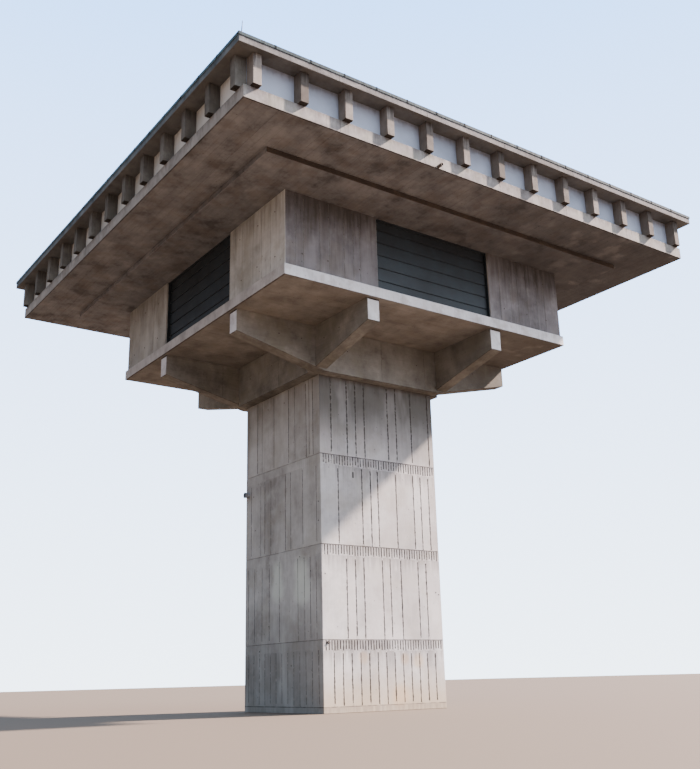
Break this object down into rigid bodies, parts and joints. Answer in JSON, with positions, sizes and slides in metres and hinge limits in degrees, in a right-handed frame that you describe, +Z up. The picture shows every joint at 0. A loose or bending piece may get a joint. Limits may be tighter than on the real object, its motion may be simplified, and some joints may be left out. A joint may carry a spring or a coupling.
{
  "type": "water tower",
  "caption": "Square board-marked concrete water tower: a hollow shaft and crossed tapered beams carry a walled storey and a wide finned tank storey under a thin flat roof.",
  "frame": {"origin": "centre of the shaft's foot, at ground level", "axes": "+Z up the shaft; +X to the right along the front face; +Y to the back"},
  "size_m": [17.35, 17.35, 16.06],
  "materials": {
    "shaft_concrete": "board-marked cast concrete",
    "beam_concrete": "board-marked cast concrete",
    "slab_concrete": "cast concrete",
    "soffit_concrete": "board-marked cast concrete",
    "wall_concrete": "board-marked cast concrete",
    "fin_concrete": "precast concrete",
    "fascia_panel": "smooth precast concrete panel",
    "infill_metal": "powder-coated steel",
    "flashing_metal": "coated sheet steel",
    "dark_metal": "painted steel"
  },
  "bodies": {
    "root": {"shaft_lift_1": "shaft_concrete", "shaft_lift_2": "shaft_concrete", "shaft_lift_3": "shaft_concrete", "shaft_lift_4": "shaft_concrete", "shaft_head": "beam_concrete", "beam_front": "beam_concrete", "beam_back": "beam_concrete", "beam_left_middle": "beam_concrete", "beam_left_front_end": "beam_concrete", "beam_left_back_end": "beam_concrete", "beam_right_middle": "beam_concrete", "beam_right_front_end": "beam_concrete", "beam_right_back_end": "beam_concrete", "platform_slab": "slab_concrete", "wall_front_left": "wall_concrete", "wall_front_right": "wall_concrete", "wall_right_front": "wall_concrete", "wall_right_back": "wall_concrete", "wall_back_right": "wall_concrete", "wall_back_left": "wall_concrete", "wall_left_back": "wall_concrete", "wall_left_front": "wall_concrete", "infill_front": "infill_metal", "infill_right": "infill_metal", "infill_back": "infill_metal", "infill_left": "infill_metal", "tank_base_slab": "soffit_concrete", "tank_floor_slab": "soffit_concrete", "fin_row_front": "fin_concrete", "fin_row_right": "fin_concrete", "fin_row_back": "fin_concrete", "fin_row_left": "fin_concrete", "fascia_panel_front": "fascia_panel", "fascia_panel_right": "fascia_panel", "fascia_panel_back": "fascia_panel", "fascia_panel_left": "fascia_panel", "roof_slab": "slab_concrete", "roof_flashing_front": "flashing_metal", "roof_flashing_right": "flashing_metal", "roof_flashing_back": "flashing_metal", "roof_flashing_left": "flashing_metal", "lightning_rod": "dark_metal", "drain_spout": "dark_metal", "shaft_lamp": "dark_metal"}
  },
  "joints": []
}
